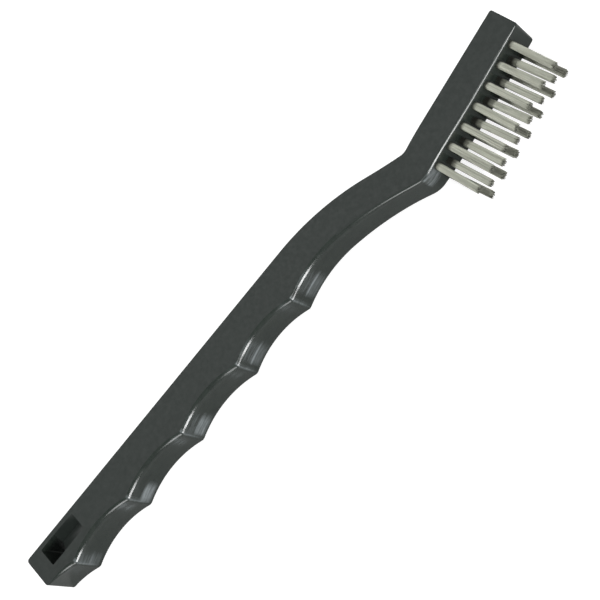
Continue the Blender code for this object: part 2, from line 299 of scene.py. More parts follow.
def give_skins(obj: Piece, *skins: bpy.types.Material) -> None:
    """Take the materials off a piece and give it these."""
    obj.data.materials.clear()
    for skin in skins:
        obj.data.materials.append(skin)


# Gradual changes


@dataclass(frozen=True)
class Ramp:
    """A climb from 0 to 1 over a stretch, in millimetres."""

    start: float
    length: float

    def at(self, place: float) -> float:
        """Height of the ramp at a place."""
        return min(1.0, max(0.0, (place - self.start) / self.length))


@dataclass(frozen=True)
class Mound:
    """A soft mound that is 1 at its middle, in millimetres."""

    middle: float
    width: float

    def at(self, place: float) -> float:
        """Height of the mound at a place."""
        return math.exp(-(((place - self.middle) / self.width) ** 2))


def blend(start: float, end: float, share: float) -> float:
    """The value at a share of the way from start to end."""
    return start + (end - start) * share


# Outlines


@dataclass(frozen=True)
class Bend:
    """One circular bend of an outline, in millimetres in its plane."""

    centre: Vector
    start: Vector
    end: Vector
    steps: int

    def sweep(self) -> float:
        """Angle in radians from start to end, counter-clockwise when positive."""
        a = self.start - self.centre
        b = self.end - self.centre
        return math.atan2(a.x * b.y - a.y * b.x, a.dot(b))


def corner_bend(
    before: Vector, corner: Vector, after: Vector, radius: float, steps: int
) -> Bend:
    """Round the corner between two straight runs.

    Args:
        before: A point on the run that comes in.
        corner: The sharp corner.
        after: A point on the run that goes out.
        radius: The radius of the rounding.
        steps: How many chords the rounding has.

    Returns:
        The bend that takes the corner's place.
    """
    back = (before - corner).normalized()
    ahead = (after - corner).normalized()
    half = back.angle(ahead) / 2
    reach = radius / math.tan(half)
    centre = corner + (back + ahead).normalized() * radius / math.sin(half)
    return Bend(centre, corner + back * reach, corner + ahead * reach, steps)


@dataclass
class OutlineTracer:
    """Traces a closed outline in edit mode: straight runs are extruded and bends are spun.

    The origin is in metres. Across and up are the directions of the outline's two numbers,
    which are in millimetres, and so is the longest step that a straight run is drawn in.
    """

    origin: Vector
    across: Vector
    up: Vector
    longest_step: float = 1000.0
    last: Vector = point_field(0.0, 0.0)

    def normal(self) -> Vector:
        """Direction that the filled outline is extruded in."""
        return self.across.cross(self.up)

    def place(self, point: Vector) -> Vector:
        """A point of the outline, in metres in the scene."""
        return self.origin + (self.across * point.x + self.up * point.y) * MM

    def begin(self, point: Vector, name: str) -> Piece:
        """Start the outline as a plane that is drawn together into one point.

        Args:
            point: The first point.
            name: The name of the piece.

        Returns:
            The new object, in edit mode.
        """
        begin_piece()
        bpy.ops.mesh.primitive_plane_add(size=MM, location=(0.0, 0.0, 0.0))
        obj = name_piece(name)
        bpy.ops.object.mode_set(mode="EDIT")
        bpy.ops.mesh.select_mode(type="VERT")
        bpy.ops.mesh.select_all(action="SELECT")
        bpy.ops.mesh.merge(type="CENTER")
        bpy.ops.transform.translate(value=self.place(point))
        self.last = point
        return obj

    def run_to(self, point: Vector) -> None:
        """Draw a straight run to a point in short steps, unless it is already there."""
        length = (point - self.last).length
        if length < SAME_POINT:
            return
        steps = max(1, round(length / self.longest_step))
        step = (self.place(point) - self.place(self.last)) / steps
        for _ in range(steps):
            bpy.ops.mesh.extrude_region_move(TRANSFORM_OT_translate={"value": step})
        self.last = point

    def bend(self, bend: Bend) -> None:
        """Draw a bend, after the straight run that leads to it."""
        self.run_to(bend.start)
        bpy.ops.mesh.spin(
            steps=bend.steps,
            angle=-bend.sweep(),
            center=self.place(bend.centre),
            axis=self.normal(),
        )
        self.last = bend.end

    def fill(self, obj: Piece, first: Vector, depth: float) -> None:
        """Close the outline, fill it and extrude it along the plane's normal.

        Args:
            obj: The piece that is being traced.
            first: The first point of the outline.
            depth: How far to extrude, in millimetres.
        """
        self.run_to(first)
        bpy.ops.mesh.select_all(action="SELECT")
        bpy.ops.mesh.remove_doubles(threshold=JOIN_GAP * MM)
        bpy.ops.mesh.edge_face_add()
        bpy.ops.mesh.select_all(action="SELECT")
        bpy.ops.mesh.extrude_region_move(
            TRANSFORM_OT_translate={"value": self.normal() * depth * MM}
        )
        bpy.ops.mesh.select_all(action="SELECT")
        bpy.ops.mesh.normals_make_consistent(inside=False)
        bpy.ops.object.mode_set(mode="OBJECT")
        log.info("traced %s with %d points", obj.name, len(obj.data.vertices))


# Finishes


class NodeDesk:
    """Adds and joins the nodes of one material."""

    def __init__(self, name: str) -> None:
        """Start a material with an empty Principled shader.

        Args:
            name: The name of the material.
        """
        self.material = bpy.data.materials.new(name)
        self.material.use_nodes = True
        self.tree = self.material.node_tree
        self.shader = self.tree.nodes["Principled BSDF"]

    def add(self, kind: str, **values: object) -> bpy.types.Node:
        """Add a node, with its properties and the defaults of its inputs.

        Args:
            kind: The node's type name.
            values: Properties, or inputs with spaces written as underscores.

        Returns:
            The new node.
        """
        node = self.tree.nodes.new(kind)
        for key, value in values.items():
            if hasattr(node, key):
                setattr(node, key, value)
            else:
                node.inputs[key.replace("_", " ")].default_value = value
        return node

    def link(self, source: Socket, target: Socket) -> None:
        """Join two sockets."""
        self.tree.links.new(source, target)

    def object_point(self) -> Socket:
        """The socket that gives a point of the piece in metres."""
        return self.add("ShaderNodeTexCoord").outputs["Object"]

    def attribute(self, name: str) -> Socket:
        """The socket of a number that the mesh carries for each point."""
        return self.add("ShaderNodeAttribute", attribute_name=name).outputs["Fac"]

    def noise(
        self,
        scale: float,
        detail: float,
        roughness: float,
        stretch: Triple = (1.0, 1.0, 1.0),
    ) -> Socket:
        """Cloudy noise over the piece.

        Args:
            scale: Features to a metre.
            detail: How many finer layers are added.
            roughness: How strong the finer layers are.
            stretch: Share of the scale along each axis, below 1 where features are long.

        Returns:
            The socket of its value.
        """
        node = self.add(
            "ShaderNodeTexNoise", Scale=scale, Detail=detail, Roughness=roughness
        )
        mapping = self.add("ShaderNodeMapping", Scale=stretch)
        self.link(self.object_point(), mapping.inputs["Vector"])
        self.link(mapping.outputs["Vector"], node.inputs["Vector"])
        return node.outputs["Fac"]

    def remap(self, value: Socket, low: float, high: float, span: Span) -> Socket:
        """Stretch a value to a new range.

        Args:
            value: The socket to read.
            low: The result at the lower end.
            high: The result at the upper end.
            span: The input values at the two ends.

        Returns:
            The socket of the result.
        """
        node = self.add("ShaderNodeMapRange", To_Min=low, To_Max=high)
        node.inputs["From Min"].default_value, node.inputs["From Max"].default_value = span
        self.link(value, node.inputs["Value"])
        return node.outputs["Result"]

    def product(self, *values: Socket) -> Socket:
        """The socket of all the values multiplied."""
        total = values[0]
        for value in values[1:]:
            node = self.add("ShaderNodeMath", operation="MULTIPLY")
            self.link(total, node.inputs[0])
            self.link(value, node.inputs[1])
            total = node.outputs[0]
        return total

    def mix(
        self, factor: Socket, first: Socket | Triple, second: Socket | Triple
    ) -> Socket:
        """Mix two colours, each of them plain or from another node.

        Args:
            factor: The socket that says how much of the second shows.
            first: The first colour.
            second: The second colour.

        Returns:
            The socket of the mixed colour.
        """
        node = self.add("ShaderNodeMix", data_type="RGBA")
        self.link(factor, node.inputs["Factor"])
        for socket, colour in ((node.inputs[6], first), (node.inputs[7], second)):
            if isinstance(colour, tuple):
                socket.default_value = (*colour, 1.0)
            else:
                self.link(colour, socket)
        return node.outputs[2]

    def dress(
        self, colour: Socket, marks: Socket, roughness: Span, band: Span = NOISE_BAND
    ) -> None:
        """Give the shader its colour, and a roughness that follows some marks.

        Args:
            colour: The socket of the colour.
            marks: The socket of the marks.
            roughness: The lowest and the highest roughness.
            band: The values of the marks that stand for these two.
        """
        self.link(colour, self.shader.inputs["Base Color"])
        self.link(self.remap(marks, *roughness, band), self.shader.inputs["Roughness"])

    def bump(self, height: Socket, distance: float, strength: float) -> None:
        """Give the shader a bump.

        Args:
            height: The socket of the height, from 0 to 1.
            distance: The height in metres that 1 stands for.
            strength: How much of the bump shows.
        """
        node = self.add("ShaderNodeBump", Distance=distance, Strength=strength)
        self.link(height, node.inputs["Height"])
        self.link(node.outputs["Normal"], self.shader.inputs["Normal"])


@dataclass(frozen=True)
class PaintedSheen:
    """One kind of painted sheen: an attribute of the mesh, shown over part of the width,
    where reflections and highlights are painted lighter.
    """

    attribute: str
    low: Span
    high: Span
    streak_scale: float
    evenness: float

    def share(self, desk: NodeDesk, stretch: Triple) -> Socket:
        """How much of the painted sheen shows.

        Args:
            desk: The desk of the material.
            stretch: Share of the streaks' scale along each axis.

        Returns:
            The socket of the share, from 0 to 1.
        """
        place = desk.add("ShaderNodeSeparateXYZ")
        desk.link(desk.object_point(), place.inputs["Vector"])
        low, high = ((start * MM, end * MM) for start, end in (self.low, self.high))
        streaks = desk.noise(self.streak_scale, 4.0, 0.65, stretch)
        return desk.product(
            desk.attribute(self.attribute),
            desk.remap(place.outputs["Z"], 0.0, 1.0, low),
            desk.remap(place.outputs["Z"], 1.0, 0.0, high),
            desk.remap(streaks, self.evenness, 1.0, STREAK_BAND),
        )


@dataclass(frozen=True)
class MouldedPlastic:
    """Dark moulded plastic: cloudy colour, uneven gloss and the grain of the mould."""

    name: str
    colour: Triple
    shade: Triple
    roughness: Span
    grain_scale: float
    grain_height: float
    grain_stretch: Triple = (1.0, 1.0, 1.0)
    cloud_scale: float = 420.0
    gloss_scale: float = 900.0
    specular: float = 0.5
    sheen_colour: Triple = (0.0, 0.0, 0.0)
    painted_sheens: tuple[PaintedSheen, ...] = ()

    def material(self) -> bpy.types.Material:
        """Make the material, with the painted sheen over the plain skin."""
        desk = NodeDesk(self.name)
        cloud = desk.remap(desk.noise(self.cloud_scale, 5.0, 0.7), 0.0, 1.0, NOISE_BAND)
        skin = desk.mix(cloud, self.colour, self.shade)
        for sheen in self.painted_sheens:
            skin = desk.mix(sheen.share(desk, self.grain_stretch), skin, self.sheen_colour)
        gloss = desk.noise(self.gloss_scale, 4.0, 0.6, self.grain_stretch)
        desk.dress(skin, gloss, self.roughness)
        grain = desk.noise(self.grain_scale, 3.0, 0.6, self.grain_stretch)
        desk.bump(grain, self.grain_height, 0.6)
        desk.shader.inputs["Specular IOR Level"].default_value = self.specular
        return desk.material


@dataclass(frozen=True)
class DrawnWire:
    """Bright drawn wire: each wire has its own tone, with faint marks of the die along it.

    The tone of a wire runs from 0 to 1, and its cut end has 1 more than the wire.
    """

    name: str
    bright: Triple
    dull: Triple
    cut: Triple
    # Colour of the painted shade at the wires' roots, where the head's edge shades them
    root_shade_colour: Triple
    roughness: Span
    metallic: float
    mark_scale: float = 1400.0
    mark_height: float = 0.00002

    def material(self) -> bpy.types.Material:
        """Make the material, whose tone and painted root shade follow the wires' own
        attributes.
        """
        desk = NodeDesk(self.name)
        tone = desk.attribute("tone")
        cut = desk.remap(tone, 0.0, 1.0, CUT_TONES)
        drawn = desk.mix(tone, self.bright, self.dull)
        clean = desk.mix(cut, drawn, desk.mix(cut, self.dull, self.cut))
        marks = desk.noise(self.mark_scale, 3.0, 0.6)
        # Painted shade darkens the wires towards their roots
        skin = desk.mix(desk.attribute("root_shade"), clean, self.root_shade_colour)
        desk.dress(skin, marks, self.roughness)
        desk.bump(marks, self.mark_height, 0.3)
        desk.shader.inputs["Metallic"].default_value = self.metallic
        return desk.material


@dataclass(frozen=True)
class FlatWire:
    """Plain flat wire of the anchors, with rolling marks."""

    name: str
    colour: Triple
    shade: Triple
    roughness: Span = (0.35, 0.55)
    mark_scale: float = 2200.0
    mark_height: float = 0.00001

    def material(self) -> bpy.types.Material:
        """Make the material, a dull metal with fine marks."""
        desk = NodeDesk(self.name)
        marks = desk.noise(self.mark_scale, 4.0, 0.65)
        share = desk.remap(marks, 0.0, 1.0, BROAD_BAND)
        skin = desk.mix(share, self.colour, self.shade)
        desk.dress(skin, marks, self.roughness, BROAD_BAND)
        desk.bump(marks, self.mark_height, 0.4)
        desk.shader.inputs["Metallic"].default_value = 1.0
        return desk.material


SIDE_SKIN = MouldedPlastic(
    name="matte_side_plastic",
    colour=(0.0220, 0.0272, 0.0244),
    shade=(0.0192, 0.0240, 0.0216),
    roughness=(0.64, 0.74),
    grain_scale=3800.0,
    grain_height=0.00003,
    specular=0.3,
)
WALL_SKIN = MouldedPlastic(
    name="smooth_wall_plastic",
    colour=(0.0255, 0.0330, 0.0280),
    shade=(0.0170, 0.0230, 0.0195),
    roughness=(0.14, 0.24),
    grain_scale=1100.0,
    grain_height=0.000002,
    grain_stretch=(0.12, 0.12, 1.0),
    specular=0.8,
    # The lighter colour paints reflections on the hollow walls beside the ridges and at the
    # neck's foot, and a highlight along each ridge's crest
    sheen_colour=(0.27, 0.30, 0.31),
    painted_sheens=(
        PaintedSheen("sheen_block", (1.0, 2.6), (5.6, 6.8), 1500.0, 0.5),
        PaintedSheen("sheen_seam", (5.2, 5.6), (5.9, 6.4), 1500.0, 0.7),
        PaintedSheen("sheen_rim", (4.4, 7.0), (10.6, 11.4), 1300.0, 0.15),
        PaintedSheen("sheen_crest", (1.0, 6.0), (11.6, 12.0), 1300.0, 0.5),
    ),
)
# Darker plastic for the trough's slopes: painted shade in the recess
SHADED_TROUGH_SKIN = MouldedPlastic(
    name="painted_shade_trough_plastic",
    colour=(0.0095, 0.0130, 0.0110),
    shade=(0.0080, 0.0110, 0.0095),
    roughness=(0.34, 0.40),
    grain_scale=1100.0,
    grain_height=0.000001,
    specular=0.25,
)
WIRE_SKIN = DrawnWire(
    name="drawn_tuft_wire",
    bright=(0.47, 0.48, 0.41),
    dull=(0.33, 0.34, 0.28),
    cut=(0.07, 0.07, 0.06),
    root_shade_colour=(0.045, 0.047, 0.038),
    roughness=(0.42, 0.52),
    metallic=0.5,
)
ANCHOR_SKIN = FlatWire(
    name="flat_anchor_wire", colour=(0.46, 0.46, 0.45), shade=(0.34, 0.34, 0.33)
)


# The handle


@dataclass(frozen=True)
class SheenPatch:
    """Where a hollow wall gets a painted reflection, in millimetres beside its ridge, and
    how strongly.
    """

    start: float
    end: float
    block: float
    seam: float
    rim: float


@dataclass
class Handle:
    """The moulded handle: grip with finger hollows, cranked neck, and head with its holes.

    Sizes are in millimetres from the tail and the spine, and slopes in degrees. Roundings
    are widths along the flat sides. Ramps say over which stretch a rounding or a painted
    reflection grows or fades. Flatness is how squarely a face looks along the width, up to
    1.
    """

    origin: Vector
    end_width: float = 11.8
    neck_width: float = 9.5
    neck_end: float = 141.4
    head_start: float = 146.4
    flare_ease: float = 2.5
    flare_bend: float = 60.0
    tail_radius: float = 0.9
    tail_foot_radius: float = 1.0
    spine_radius: float = 75.0
    neck_slope: float = 21.94
    kink: Vector = point_field(144.087, -9.877)
    kink_radius: float = 4.0
    head_slope: float = 8.97
    head_length: float = 40.355
    head_radius: float = 0.6
    head_foot: Vector = point_field(185.3, -11.3)
    head_foot_radius: float = 0.8
    face_fullness: Triple = (0.42, 0.75, 0.60)
    face_bow: float = 420.0
    neck_foot: Vector = point_field(142.0, -18.75)
    neck_foot_radius: float = 6.5
    under_slope: float = 25.2
    ridges: tuple[float, ...] = (98.4, 76.7, 54.2, 31.9, 10.0)
    ridge_level: float = -11.8
    ridge_radius: float = 1.6
    hollow_level: float = -9.65
    index_top: float = 110.9
    index_end: float = 117.9
    tail_top: float = -0.8
    outline_step: float = 1.0
    straight_wall: float = 0.99999
    merged_gap: float = 0.06
    sharp_angle: float = 60.0
    smooth_angle: float = 32.0
    edge_strips: int = 6
    spine_rounding: float = 0.20
    finger_rounding: float = 1.5
    face_rounding: float = 1.1
    foot_rounding: float = 0.5
    far_rounding: float = 0.3
    head_end_reach: float = 1.0
    head_end_ramp: Ramp = Ramp(1.0, 3.0)
    head_middle_slope: float = 0.165
    head_middle_drop: float = 4.2
    face_ramp: Ramp = Ramp(1.5, 5.0)
    finger_level: float = -8.0
    neck_start: float = 118.0
    neck_middle_slope: float = 0.36
    grip_middle: float = 50.0
    tail_ramp: Ramp = Ramp(1.2, 7.0)
    neck_ramp: Ramp = Ramp(3.0, 18.0)
    hole_start: float = 5.0
    hole_end: float = 10.5
    hole_top: float = -1.33
    hole_foot: float = -6.9
    hole_rounding: float = 0.35
    trough_end: float = 18.0
    trough_depth: float = 1.4
    overrun: float = 2.0
    tool_reach: float = 5.0
    tool_top: float = 10.0
    tool_depth: float = 45.0
    head_flatness: float = 0.9
    grip_flatness: float = 0.985
    trough_flatness: float = 0.3
    # Painted reflections on the hollow walls beside each ridge
    painted_sheen: tuple[SheenPatch, ...] = (
        SheenPatch(2.6, 8.9, 0.35, 0.75, 0.28),
        SheenPatch(1.8, 7.4, 0.35, 0.80, 0.28),
        SheenPatch(0.8, 6.0, 0.80, 0.30, 0.25),
        SheenPatch(0.3, 5.2, 1.00, 0.00, 0.05),
        SheenPatch(0.1, 3.4, 0.30, 0.25, 0.25),
    )
    # How a painted reflection rises and falls beside its ridge, a painted glint tailward of
    # it, and a painted highlight along its crest
    patch_rise: Ramp = Ramp(-0.3, 0.9)
    patch_fall: Ramp = Ramp(-1.6, 2.2)
    rim_mound: Mound = Mound(-2.6, 1.2)
    crest_mound: Mound = Mound(0.25, 0.3)
    mound_sheen: float = 0.5
    # Painted reflection on the facet at the neck's foot
    neck_sheen: float = 0.6
    neck_sheen_level: float = -16.0
    neck_sheen_rise: Ramp = Ramp(-0.4, 0.6)
    neck_sheen_fall: Ramp = Ramp(3.4, 1.6)

    def along_face(self) -> Vector:
        """Direction along the bristle face towards the head end."""
        return (self.head_foot - self.neck_foot).normalized()

    def full_face(self) -> tuple[Vector, Vector, Vector]:
        """Sharp corners of the slightly bowed bristle face.

        Returns:
            The corners at the head's foot, in the middle and at the neck's foot.
        """
        along = self.along_face()
        outward = Vector((along.y, -along.x))
        slope = math.radians(self.under_slope)
        under = Vector((math.cos(slope), -math.sin(slope)))
        head, middle, neck = self.face_fullness
        return (
            self.head_foot + outward * head,
            (self.head_foot + self.neck_foot) / 2 + outward * middle,
            self.neck_foot + under * neck,
        )

    def hollow(self, top: float, half_chord: float) -> tuple[Vector, float]:
        """Centre and radius of a hollow that reaches from its top to a ridge.

        Args:
            top: Where along the grip the hollow is deepest.
            half_chord: The distance from there to the ridge.

        Returns:
            The centre and the radius.
        """
        depth = self.hollow_level - self.ridge_level
        radius = (half_chord**2 + depth**2) / (2 * depth)
        return Vector((top, self.hollow_level - radius)), radius

    def hollows(self) -> list[tuple[Vector, float]]:
        """Centres and radii of all hollows, from the index finger to the tail."""
        found = [self.hollow(self.index_top, self.index_top - self.ridges[0])]
        for right, left in zip(self.ridges[:-1], self.ridges[1:]):
            found.append(self.hollow((right + left) / 2, (right - left) / 2))
        found.append(self.hollow(self.tail_top, self.ridges[-1] - self.tail_top))
        return found

    def ridge_bend(
        self, right: tuple[Vector, float], left: tuple[Vector, float]
    ) -> Bend:
        """Rounded ridge that touches the hollows on both sides of it.

        Args:
            right: Centre and radius of the hollow on the head's side.
            left: Centre and radius of the hollow on the tail's side.

        Returns:
            The bend over the ridge.
        """
        reach_right = right[1] + self.ridge_radius
        reach_left = left[1] + self.ridge_radius
        gap = left[0] - right[0]
        along = (reach_right**2 - reach_left**2 + gap.length_squared) / (2 * gap.length)
        rise = math.sqrt(reach_right**2 - along**2)
        ahead = gap.normalized()
        centre = right[0] + ahead * along + Vector((ahead.y, -ahead.x)) * rise
        start = right[0] + (centre - right[0]) * right[1] / reach_right
        end = left[0] + (centre - left[0]) * left[1] / reach_left
        return Bend(centre, start, end, RIDGE_CHORDS)

    def upper_bends(self) -> list[Bend]:
        """Bends of the spine, the head and the foot of the neck, from the tail."""
        slope = math.tan(math.radians(self.neck_slope))
        lean = math.radians(self.head_slope)
        tail = Vector((0.0, 0.0))
        tail_foot = Vector((0.0, self.hollow_level))
        spine = Vector((self.kink.x + self.kink.y / slope, 0.0))
        head = self.kink + Vector((math.cos(lean), math.sin(lean))) * self.head_length
        under, under_radius = self.under_corner()
        index_end = self.index_end_point()
        head_foot, face_middle, neck_foot = self.full_face()
        return [
            corner_bend(tail_foot, tail, spine, self.tail_radius, CORNER_CHORDS),
            corner_bend(tail, spine, self.kink, self.spine_radius, SPINE_CHORDS),
            corner_bend(spine, self.kink, head, self.kink_radius, RIDGE_CHORDS),
            corner_bend(self.kink, head, head_foot, self.head_radius, CORNER_CHORDS),
            corner_bend(
                head, head_foot, face_middle, self.head_foot_radius, CORNER_CHORDS
            ),
            corner_bend(head_foot, face_middle, neck_foot, self.face_bow, FACE_CHORDS),
            corner_bend(
                face_middle, neck_foot, under, self.neck_foot_radius, FACE_CHORDS
            ),
            corner_bend(neck_foot, under, index_end, under_radius, UNDER_CHORDS),
        ]

    def index_end_point(self) -> Vector:
        """Where the index hollow runs out into the neck."""
        centre, radius = self.hollows()[0]
        run = self.index_end - centre.x
        return Vector((self.index_end, centre.y + math.sqrt(radius**2 - run**2)))

    def under_corner(self) -> tuple[Vector, float]:
        """Sharp corner of the underside between index hollow and neck, and its rounding.

        Returns:
            The corner and the radius that starts where the index hollow ends.
        """
        centre, radius = self.hollows()[0]
        end = self.index_end_point()
        foot = self.neck_foot
        first = math.asin((end.x - centre.x) / radius)
        second = math.radians(self.under_slope)
        drop = end.y - foot.y - (foot.x - end.x) * math.tan(first)
        run = drop / (math.tan(second) - math.tan(first))
        corner = foot + Vector((-run, run * math.tan(second)))
        return corner, (corner - end).length / math.tan((second - first) / 2)

    def lower_bends(self) -> list[Bend]:
        """Bends of the finger side, from the index hollow to the tail."""
        hollows = self.hollows()
        ridges = [self.ridge_bend(a, b) for a, b in zip(hollows[:-1], hollows[1:])]
        centre, radius = hollows[-1]
        corner = Vector((0.0, centre.y + math.sqrt(radius**2 - centre.x**2)))
        tangent = Vector((corner.y - centre.y, centre.x - corner.x))
        tail = Vector((0.0, 0.0))
        before = corner + tangent
        foot = corner_bend(before, corner, tail, self.tail_foot_radius, CORNER_CHORDS)
        bends: list[Bend] = []
        start = self.index_end_point()
        for (centre, _), ridge in zip(hollows[:-1], ridges):
            bends.append(Bend(centre, start, ridge.start, HOLLOW_CHORDS))
            bends.append(ridge)
            start = ridge.end
        bends.append(Bend(hollows[-1][0], start, foot.start, TAIL_CHORDS))
        bends.append(foot)
        return bends

    def trace_side(self) -> Piece:
        """Trace the side outline and extrude it over more than the whole width."""
        low = self.origin - Vector((0.0, 0.0, self.overrun * MM))
        tracer = OutlineTracer(
            low, Vector((1, 0, 0)), Vector((0, 1, 0)), self.outline_step
        )
        bends = self.upper_bends() + self.lower_bends()
        body = tracer.begin(bends[0].start, "handle_body")
        for bend in bends:
            tracer.bend(bend)
        tracer.fill(body, bends[0].start, self.end_width + 2 * self.overrun)
        return body

    def trace_width(self) -> Piece:
        """Trace the outline that is seen on the spine: tapered grip, flare and head."""
        taper = (self.end_width - self.neck_width) / 2
        lower = [
            Vector((-self.tool_reach, -taper * self.tool_reach / self.neck_end)),
            Vector((self.neck_end - self.flare_ease, taper)),
            Vector((self.head_start + self.flare_ease, 0.0)),
            Vector((self.head_foot.x + self.tool_reach, 0.0)),
        ]
        upper = [Vector((p.x, self.end_width - p.y)) for p in reversed(lower)]
        start = self.origin + Vector((0.0, self.tool_top * MM, 0.0))
        tracer = OutlineTracer(start, Vector((1, 0, 0)), Vector((0, 0, 1)))
        tool = tracer.begin(lower[0], "width_tool")
        for side in (lower, upper):
            tracer.run_to(side[0])
            tracer.bend(corner_bend(*side[:3], self.flare_bend, CORNER_CHORDS))
            tracer.bend(corner_bend(*side[1:], self.flare_bend, CORNER_CHORDS))
            tracer.run_to(side[3])
        tracer.fill(tool, lower[0], self.tool_depth)
        return tool

    def rounding_at(self, point: Vector) -> float:
        """Rounding of the edge between wall and flat side at a point of the outline.

        Args:
            point: A point on the edge, in millimetres from the tail.

        Returns:
            The width of the rounding in millimetres.
        """
        if point.z < self.end_width / 2:
            return self.far_rounding
        if point.x > self.head_foot.x - self.head_end_reach:
            up = self.head_end_ramp.at(point.y - self.head_foot.y)
            return blend(self.foot_rounding, self.spine_rounding, up)
        if point.x > self.neck_end:
            rise = (point.x - self.kink.x) * self.head_middle_slope
            if point.y > self.kink.y + rise - self.head_middle_drop:
                return self.spine_rounding
            back = self.face_ramp.at(self.head_foot.x - point.x)
            return blend(self.foot_rounding, self.face_rounding, back)
        drop = max(0.0, point.x - self.neck_start) * self.neck_middle_slope
        if point.y > self.finger_level - drop:
            return self.spine_rounding
        if point.x < self.grip_middle:
            ahead = self.tail_ramp.at(point.x)
            return blend(self.spine_rounding, self.finger_rounding, ahead)
        back = self.neck_ramp.at(self.neck_end - point.x)
        return blend(self.face_rounding, self.finger_rounding, back)

    def lies_in_straight_wall(self, edge: bmesh.types.BMEdge) -> bool:
        """Whether an edge lies within the straight part of the spine or of the tail."""
        return all(
            max(face.normal.y, -face.normal.x) > self.straight_wall
            for face in edge.link_faces
        )

    def round_edges(self, body: Piece) -> None:
        """Round the edges along both flat sides, most on the finger side.

        The short steps of the straight walls are joined into one face each first, and
        points that nearly touch are merged, so that the rounding has no folds or slits.

        Args:
            body: The handle, still with sharp edges.
        """
        select_only(body)
        bpy.ops.object.mode_set(mode="EDIT")
        pick_edges(body, self.lies_in_straight_wall)
        bpy.ops.mesh.dissolve_edges(use_verts=True)
        bpy.ops.mesh.select_all(action="SELECT")
        bpy.ops.mesh.remove_doubles(threshold=self.merged_gap * MM)
        limit = math.radians(self.sharp_angle)
        count = pick_edges(body, lambda edge: edge.calc_face_angle(0.0) > limit)
        bm = bmesh.from_edit_mesh(body.data)
        layer = bm.edges.layers.float.new("bevel_weight_edge")
        for edge in bm.edges:
            if edge.select:
                middle = (edge.verts[0].co + edge.verts[1].co) / 2 - self.origin
                edge[layer] = self.rounding_at(middle / MM)
        bmesh.update_edit_mesh(body.data)
        bpy.ops.object.mode_set(mode="OBJECT")
        modifier = body.modifiers.new("edges", "BEVEL")
        modifier.limit_method = "WEIGHT"
        modifier.width = MM
        modifier.segments = self.edge_strips
        modifier.use_clamp_overlap = False
        modifier.loop_slide = False
        apply_modifier(body, "edges")
        log.info("rounded %d edges of the handle", count)

    def hang_hole_tool(self) -> Piece:
        """Cutter for the square opening, with rounded upright edges."""
        size = (
            self.hole_end - self.hole_start,
            self.hole_top - self.hole_foot,
            self.end_width + 2 * self.overrun,
        )
        middle = (
            (self.hole_start + self.hole_end) / 2,
            (self.hole_top + self.hole_foot) / 2,
            self.end_width / 2,
        )
        tool = add_block(
            "hang_hole_tool", self.origin + Vector(middle) * MM, Vector(size)
        )
        height = self.end_width * MM
        bevel_edges(
            tool,
            lambda edge: abs(edge.verts[0].co.z - edge.verts[1].co.z) > height,
            self.hole_rounding,
            SMALL_STRIPS,
        )
        return tool

    def trough_tool(self, side: Side) -> Piece:
        """Cutter for the shallow trough that leads to the opening.

        Args:
            side: The flat side that the trough is in.

        Returns:
            A three-sided bar along the grip.
        """
        middle = (self.hole_top + self.hole_foot) / 2
        slope = self.trough_depth / (self.hole_top - middle)
        out = self.overrun / slope
        inset = (self.end_width - self.neck_width) / 2 / self.neck_end
        inset *= (self.hole_start + self.trough_end) / 2
        face = self.end_width - inset if side is Side.UPPER else inset
        corners = [
            Vector((middle, face - side.value * self.trough_depth)),
            Vector((self.hole_top + out, face + side.value * self.overrun)),
            Vector((self.hole_foot - out, face + side.value * self.overrun)),
        ]
        start = (self.hole_start + self.hole_end) / 2
        origin = self.origin + Vector((start * MM, 0.0, 0.0))
        tracer = OutlineTracer(origin, Vector((0, 1, 0)), Vector((0, 0, 1)))
        tool = tracer.begin(corners[0], f"{side.name.lower()}_trough_tool")
        for corner in corners[1:]:
            tracer.run_to(corner)
        tracer.fill(tool, corners[0], self.trough_end - start)
        return tool

    def sheen_at(self, point: Vector) -> dict[str, float]:
        """How much painted reflection and highlight the walls have at a point, for each
        kind.

        Args:
            point: The point in millimetres from the tail.

        Returns:
            The strength of each kind, from 0 to 1.
        """
        block = seam = rim = crest = 0.0
        if point.y < self.finger_level and point.x < self.index_end:
            for ridge, painted_sheen in zip(self.ridges, self.painted_sheen):
                beside = point.x - ridge
                patch = self.patch_rise.at(beside - painted_sheen.start)
                patch *= 1.0 - self.patch_fall.at(beside - painted_sheen.end)
                rim_sheen = self.mound_sheen * painted_sheen.block * self.rim_mound.at(beside)
                block = max(block, painted_sheen.block * patch)
                seam = max(seam, painted_sheen.seam * patch)
                rim = max(rim, painted_sheen.rim * patch, rim_sheen)
                crest = max(crest, self.mound_sheen * self.crest_mound.at(beside))
        # The facet at the neck's foot gets a painted reflection
        elif point.x > self.index_end and point.y < self.neck_sheen_level:
            along = point.x - self.neck_foot.x
            rim = self.neck_sheen * self.neck_sheen_rise.at(along)
            rim *= 1.0 - self.neck_sheen_fall.at(along)
        return dict(sheen_block=block, sheen_seam=seam, sheen_rim=rim, sheen_crest=crest)

    def skin_of(self, face: bpy.types.MeshPolygon) -> int:
        """Which skin a face has.

        Args:
            face: The face of the finished handle.

        Returns:
            0 for the matte flat sides, 1 for the smooth walls and 2 for the slopes of the
            trough above the foot of the hang hole, which carry painted shade.
        """
        place = (face.center - self.origin) / MM
        flatness = abs(face.normal.z)
        sloping = self.trough_flatness < flatness < self.grip_flatness
        along_trough = self.hole_start < place.x < self.trough_end
        if sloping and along_trough and place.y > self.hole_foot:
            return 2
        beyond_grip = place.x > self.index_end
        limit = self.head_flatness if beyond_grip else self.grip_flatness
        return 0 if flatness > limit else 1

